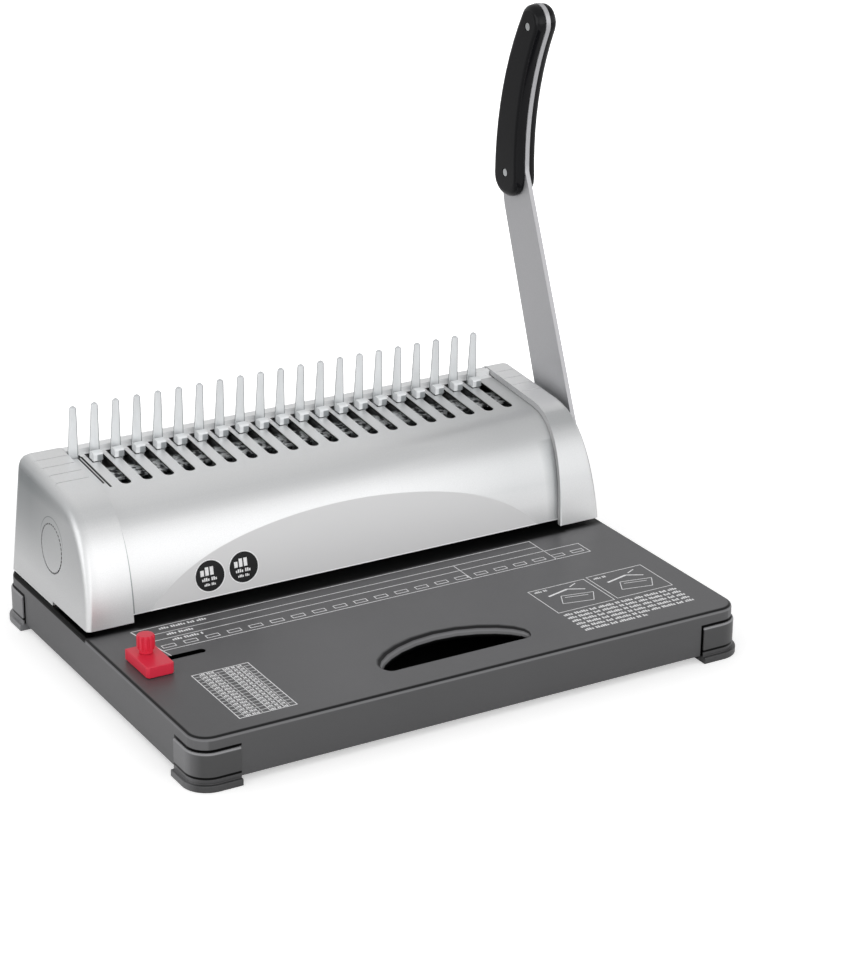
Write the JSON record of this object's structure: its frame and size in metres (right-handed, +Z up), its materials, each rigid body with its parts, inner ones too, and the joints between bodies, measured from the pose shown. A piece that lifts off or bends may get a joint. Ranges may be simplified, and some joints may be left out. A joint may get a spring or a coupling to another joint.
{
  "type": "comb binding machine",
  "caption": "Desk punch and comb binding machine: wide base, curved silver housing with upright fingers and sliding hooks, side lever, edge guide and chip tray.",
  "frame": {"origin": "middle of the whole machine's footprint, on the table, between the soles of the feet", "axes": "+X to the machine's right, +Y to its back, +Z up"},
  "size_m": [0.3774, 0.2852, 0.3563],
  "materials": {
    "charcoal_shell": "fine grained matt charcoal moulding",
    "foot_rubber": "matt dark grey",
    "deck_silver": "satin silver paint",
    "cap_silver": "satin light silver paint",
    "lever_silver": "smooth silver grey paint",
    "bright_steel": "zinc plated, semi-bright",
    "dark_steel": "phosphated, matt",
    "spring_steel": "bright wire",
    "brass_bush": "plain sintered bronze",
    "black_plastic": "smooth, semi-gloss black",
    "red_plastic": "smooth, satin red"
  },
  "bodies": {
    "frame": {"base_cover": "charcoal_shell", "base_pan": "dark_steel", "foot_front_left": "foot_rubber", "foot_front_right": "foot_rubber", "foot_back_left": "foot_rubber", "foot_back_right": "foot_rubber", "housing_cover": "deck_silver", "end_cap_left": "cap_silver", "end_cap_right": "cap_silver", "side_frame_left": "dark_steel", "side_frame_right": "dark_steel", "tie_rod": "bright_steel", "die_plate": "bright_steel", "punch_guide": "dark_steel", "paper_stop": "dark_steel", "bush_left": "brass_bush", "bush_right": "brass_bush", "finger_comb": "bright_steel", "punch_spring_left": "spring_steel", "punch_spring_right": "spring_steel", "hook_spring": "spring_steel"},
    "crank": {"comb_crank": "dark_steel"},
    "lever": {"lever_bar": "lever_silver", "grip_inner": "black_plastic", "grip_outer": "black_plastic", "grip_screw_lower": "bright_steel", "grip_screw_upper": "bright_steel", "lever_cap_nut": "bright_steel", "lever_shaft": "bright_steel", "cam_left": "dark_steel", "cam_right": "dark_steel", "drive_dog": "dark_steel"},
    "punches": {"punch_bar": "dark_steel", "punch_01": "bright_steel", "punch_02": "bright_steel", "punch_03": "bright_steel", "punch_04": "bright_steel", "punch_05": "bright_steel", "punch_06": "bright_steel", "punch_07": "bright_steel", "punch_08": "bright_steel", "punch_09": "bright_steel", "punch_10": "bright_steel", "punch_11": "bright_steel", "punch_12": "bright_steel", "punch_13": "bright_steel", "punch_14": "bright_steel", "punch_15": "bright_steel", "punch_16": "bright_steel", "punch_17": "bright_steel", "punch_18": "bright_steel", "punch_19": "bright_steel", "punch_20": "bright_steel", "punch_21": "bright_steel"},
    "hooks": {"hook_plate": "bright_steel"},
    "edge_stop": {"edge_guide": "red_plastic", "guide_clamp": "dark_steel"},
    "knob": {"guide_knob": "red_plastic"},
    "tray": {"chip_tray": "black_plastic"}
  },
  "joints": [
    {"name": "comb_crank_pivot", "type": "hinge", "parent": "frame", "child": "crank", "pos_m": [0, 0.06141, 0.07], "axis": [1, 0, 0], "range_deg": [-50, 0]},
    {"name": "lever_pivot", "type": "hinge", "parent": "crank", "child": "lever", "pos_m": [0, 0.06141, 0.07], "axis": [1, 0, 0], "range_deg": [0, 90]},
    {"name": "punch_slide", "type": "slide", "parent": "frame", "child": "punches", "axis": [0, 0, -1], "range_m": [0, 0.009], "deforming": ["punch_spring_left", "punch_spring_right"]},
    {"name": "hook_slide", "type": "slide", "parent": "frame", "child": "hooks", "axis": [0, -0.9963, -0.0865], "range_m": [0, 0.0261]},
    {"name": "edge_guide_slide", "type": "slide", "parent": "frame", "child": "edge_stop", "axis": [1, 0, 0], "range_m": [0, 0.032]},
    {"name": "guide_knob_turn", "type": "hinge", "parent": "edge_stop", "child": "knob", "pos_m": [-0.16722, -0.0363, 0.045], "axis": [0, 0, 1], "range_deg": [0, 180]},
    {"name": "chip_tray_slide", "type": "slide", "parent": "frame", "child": "tray", "axis": [0, 1, 0], "range_m": [0, 0.075]}
  ],
  "couplings": [
    {"joint": "lever_pivot", "follows": "punch_slide", "rad_per_m": 174.53},
    {"joint": "comb_crank_pivot", "follows": "hook_slide", "rad_per_m": -33.43}
  ]
}
